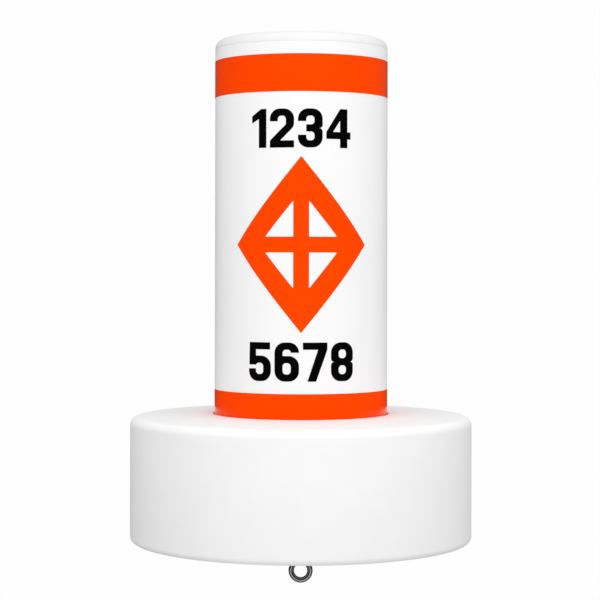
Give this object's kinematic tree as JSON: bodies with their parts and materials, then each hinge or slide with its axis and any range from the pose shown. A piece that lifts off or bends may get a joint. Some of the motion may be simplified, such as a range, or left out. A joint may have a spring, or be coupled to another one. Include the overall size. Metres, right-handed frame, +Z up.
{
  "type": "float collar buoy",
  "caption": "Marker buoy: an upright white column with orange bands, a crossed diamond and plain numbers, standing in a wide round float collar with a mooring eye under it.",
  "frame": {"origin": "centre of the mooring eye's ring, 41.6 mm under the collar's flat underside", "axes": "+Z up the column's axis, -Y towards the marked side, +X to the right of someone facing the marks"},
  "size_m": [0.452, 0.452, 0.7201],
  "materials": {
    "white_column_plastic": "satin",
    "white_collar_plastic": "satin",
    "grey_plug_plastic": "satin",
    "orange_film": "gloss",
    "black_film": "satin",
    "polished_steel": "satin",
    "zinc_steel": "satin",
    "float_foam": "matte",
    "ballast_concrete": "matte"
  },
  "bodies": {
    "root": {"column_tube": "white_column_plastic", "top_cap": "white_column_plastic", "foot_disc": "white_column_plastic", "collar_shell": "white_collar_plastic", "fill_plug": "grey_plug_plastic", "vent_plug": "grey_plug_plastic", "collar_foam": "float_foam", "column_foam": "float_foam", "ballast_disc": "ballast_concrete", "ballast_plate": "zinc_steel", "upper_washer": "zinc_steel", "lock_washer": "zinc_steel", "upper_nut": "zinc_steel", "lower_washer": "polished_steel", "lower_nut": "polished_steel", "mooring_eye": "polished_steel", "upper_band": "orange_film", "lower_band": "orange_film", "diamond_mark": "orange_film", "number_1": "black_film", "number_2": "black_film", "number_3": "black_film", "number_4": "black_film", "number_5": "black_film", "number_6": "black_film", "number_7": "black_film", "number_8": "black_film"}
  },
  "joints": []
}
